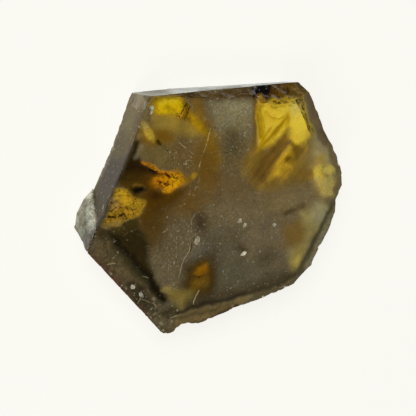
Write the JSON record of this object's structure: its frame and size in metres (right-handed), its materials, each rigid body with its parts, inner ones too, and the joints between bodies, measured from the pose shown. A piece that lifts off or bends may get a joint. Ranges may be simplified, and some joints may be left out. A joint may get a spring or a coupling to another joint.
{
  "type": "trapiche quartz slice",
  "caption": "Flat six-sided slice of smoky yellow trapiche quartz, with grey milky arms between clear windows, a polished face and broken edges.",
  "frame": {"origin": "under the middle of the slice's bounding box, on its sawn back face", "axes": "+Z along the crystal's length, up out of the polished face; +X towards the broken right tip, along the longest way across; +Y towards the flat top prism face"},
  "size_m": [0.0326, 0.0282, 0.0047],
  "materials": {
    "quartz": "smoky yellow quartz, clear in its windows and milky grey-brown in its arms, polished on the face, frosted on the sides"
  },
  "bodies": {
    "root": {"crystal_slice": "quartz"}
  },
  "joints": []
}
